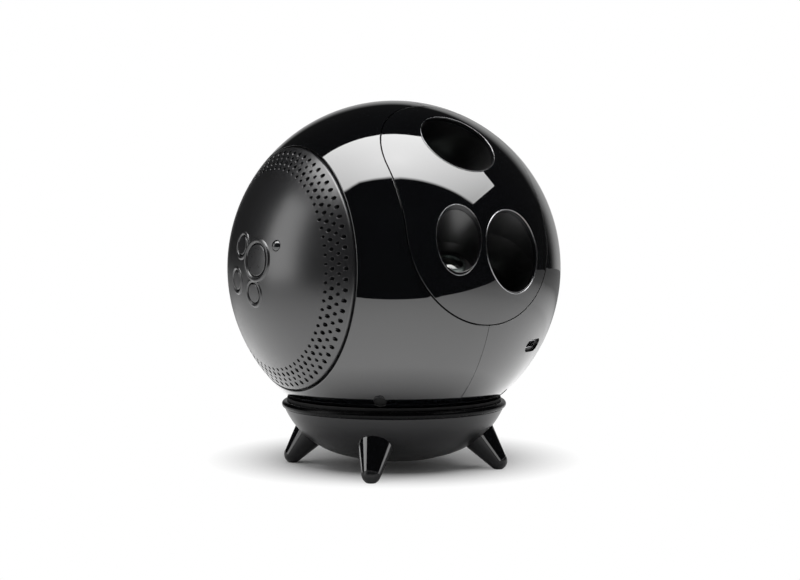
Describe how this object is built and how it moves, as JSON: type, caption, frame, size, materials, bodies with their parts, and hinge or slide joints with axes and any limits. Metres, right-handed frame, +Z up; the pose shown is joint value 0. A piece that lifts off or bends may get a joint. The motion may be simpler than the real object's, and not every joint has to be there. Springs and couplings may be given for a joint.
{
  "type": "planetarium projector",
  "caption": "Glossy ball-shaped star projector with lens wells in an oval front panel, a perforated loudspeaker cap with push buttons, on a dish stand with cone legs.",
  "frame": {"origin": "on the table, under the ball's centre", "axes": "+Z up, -Y the way the lenses face, -X the side with the loudspeaker cap"},
  "size_m": [0.1407, 0.14, 0.154],
  "materials": {
    "gloss_black": "polished",
    "satin_black": "satin",
    "hood_black": "matt",
    "stand_grey": "satin",
    "soft_black": "matt",
    "button_black": "satin",
    "indicator_clear": "polished",
    "lens_glass": "polished",
    "ring_grey": "satin",
    "grille_mesh": "woven",
    "inner_black": "moulded",
    "inner_white": "moulded",
    "gear_white": "moulded",
    "board_green": "solder mask",
    "chip_black": "moulded",
    "steel": "plated",
    "zinc_steel": "zinc plated",
    "brass": "turned",
    "sink_aluminium": "extruded",
    "cell_wrap": "shrink sleeve",
    "paper_cone": "pressed paper",
    "weight_iron": "as cast",
    "light_board": "white mask",
    "ripple_glass": "rippled",
    "slide_film": "film"
  },
  "bodies": {
    "stand": {"bowl": "stand_grey", "dish_cover": "inner_black", "stand_weight": "weight_iron", "leg_inlays": "gloss_black", "leg_screws": "zinc_steel", "leg_front_right": "stand_grey", "leg_back_right": "stand_grey", "leg_back_left": "stand_grey", "leg_front_left": "stand_grey"},
    "turn_ring": {"seat_ring": "gloss_black", "seat_pad": "soft_black"},
    "ball": {"left_shell": "gloss_black", "right_shell": "gloss_black", "lens_panel": "gloss_black", "top_hood": "hood_black", "middle_hood": "hood_black", "right_hood": "hood_black", "top_lens": "lens_glass", "middle_lens": "lens_glass", "right_lens": "lens_glass", "top_lens_ring": "hood_black", "middle_lens_ring": "ring_grey", "right_lens_ring": "hood_black", "lens_carrier": "inner_black", "standoffs": "brass", "chassis_plate": "inner_black", "inner_screws": "zinc_steel", "grille_cap": "satin_black", "dust_mesh": "grille_mesh", "button_board": "board_green", "switch_bodies": "chip_black", "indicator_dome": "indicator_clear", "speaker_baffle": "inner_black", "speaker_basket": "steel", "speaker_magnet": "zinc_steel", "speaker_cone": "paper_cone", "gear_clip": "steel", "motor": "steel", "nebula_lamp": "light_board", "nebula_heat_sink": "sink_aluminium", "star_grating": "ripple_glass", "laser_module": "brass", "slide_disc": "slide_film", "slide_lamp": "light_board", "slide_heat_sink": "sink_aluminium", "main_board": "board_green", "board_parts": "chip_black", "battery_cell": "cell_wrap", "battery_cradle": "inner_white", "usb_socket": "steel", "usb_board": "board_green", "shell_screws": "zinc_steel", "screw_plugs": "soft_black"},
    "ripple": {"ripple_gear": "gear_white", "ripple_disc": "ripple_glass"},
    "button_large_key": {"button_large": "button_black"},
    "button_top_key": {"button_top": "button_black"},
    "button_back_key": {"button_back": "button_black"},
    "button_bottom_key": {"button_bottom": "button_black"},
    "motor_pinion": {"pinion": "brass"}
  },
  "joints": [
    {"name": "turn", "type": "hinge", "parent": "stand", "child": "turn_ring", "pos_m": [0, 0, 0.026], "axis": [0, 0, 1], "continuous": true},
    {"name": "tilt", "type": "hinge", "parent": "turn_ring", "child": "ball", "pos_m": [0, 0, 0.084], "axis": [-1, 0, 0], "range_deg": [-30, 63]},
    {"name": "press_large", "type": "slide", "parent": "ball", "child": "button_large_key", "axis": [0.9931, 0.1048, -0.0523], "range_m": [0, 0.0007], "stiffness_N_per_m": 2800, "springref_m": -0.0002},
    {"name": "press_top", "type": "slide", "parent": "ball", "child": "button_top_key", "axis": [0.9887, -0.0669, -0.1342], "range_m": [0, 0.0007], "stiffness_N_per_m": 2800, "springref_m": -0.0002},
    {"name": "press_back", "type": "slide", "parent": "ball", "child": "button_back_key", "axis": [0.9887, -0.1342, 0.0669], "range_m": [0, 0.0007], "stiffness_N_per_m": 2800, "springref_m": -0.0002},
    {"name": "press_bottom", "type": "slide", "parent": "ball", "child": "button_bottom_key", "axis": [0.9887, 0.0669, 0.1342], "range_m": [0, 0.0007], "stiffness_N_per_m": 2800, "springref_m": -0.0002},
    {"name": "ripple_spin", "type": "hinge", "parent": "ball", "child": "ripple", "pos_m": [-0.0007, -0.02084, 0.12065], "axis": [0, -0.8949, 0.4462], "continuous": true},
    {"name": "pinion_spin", "type": "hinge", "parent": "ball", "child": "motor_pinion", "pos_m": [0.01627, -0.01327, 0.13584], "axis": [0, -0.8949, 0.4462], "continuous": true}
  ],
  "couplings": [
    {"joint": "pinion_spin", "follows": "ripple_spin", "ratio": -3}
  ]
}
